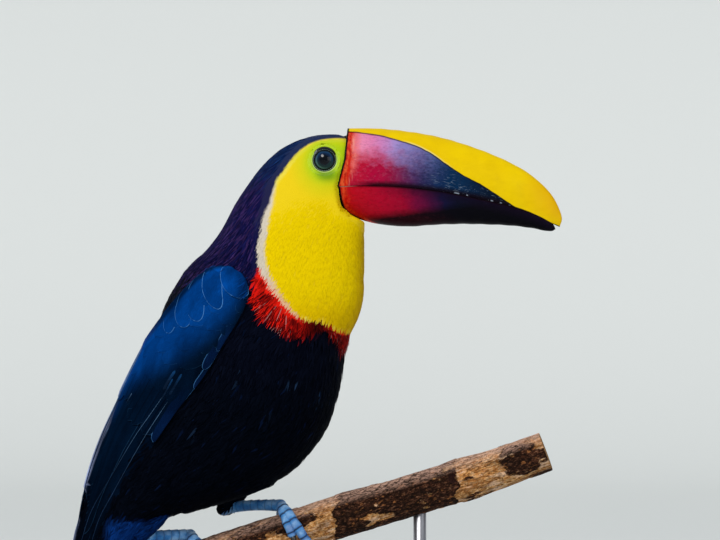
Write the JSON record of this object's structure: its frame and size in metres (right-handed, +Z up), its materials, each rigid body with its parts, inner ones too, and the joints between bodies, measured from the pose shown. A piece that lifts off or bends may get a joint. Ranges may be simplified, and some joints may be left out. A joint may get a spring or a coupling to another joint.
{
  "type": "toucan model",
  "caption": "Life-size still model of a toucan with a long curved bill, folded wings and a closed tail, perched on a cut branch over a flat display stand.",
  "frame": {"origin": "centre of the display stand's flat underside, on the surface it stands on", "axes": "+Z up, +X the way the bird's bill points, +Y to the bird's left"},
  "size_m": [0.321, 0.122, 0.4301],
  "materials": {
    "plumage_black": "soft feathers, blue-black with a slight sheen",
    "plumage_yellow": "soft short feathers of throat and breast, yellow, with a black cap and nape",
    "plumage_wing": "smooth overlapping wing feathers, blue on the coverts and black on the quills",
    "horn_upper": "smooth satin horn, yellow ridge over a red to blue-black side",
    "horn_lower": "smooth satin horn, red at the base and black ahead",
    "eye": "wet, dark",
    "scutes": "blue scaly skin",
    "claw": "dark horn",
    "bark": "rough bark, tan with dark patches, pale cut ends",
    "stand_wood": "dark stained wood, satin",
    "stand_rod": "satin steel rod"
  },
  "bodies": {
    "root": {"head": "plumage_yellow", "neck": "plumage_yellow", "trunk": "plumage_black", "tail_coverts": "plumage_black", "tail": "plumage_black", "wing_right": "plumage_wing", "wing_left": "plumage_wing", "shin_right": "plumage_black", "shin_left": "plumage_black", "foot_right": "scutes", "foot_left": "scutes", "eye_right": "eye", "eye_left": "eye", "bill_upper": "horn_upper", "bill_lower": "horn_lower", "perch": "bark", "stand_base": "stand_wood", "stand_rod_1": "stand_rod", "stand_rod_2": "stand_rod", "claw_left_inner_front": "claw", "claw_left_outer_front": "claw", "claw_left_inner_rear": "claw", "claw_left_outer_rear": "claw", "claw_right_inner_front": "claw", "claw_right_outer_front": "claw", "claw_right_inner_rear": "claw", "claw_right_outer_rear": "claw"}
  },
  "joints": []
}
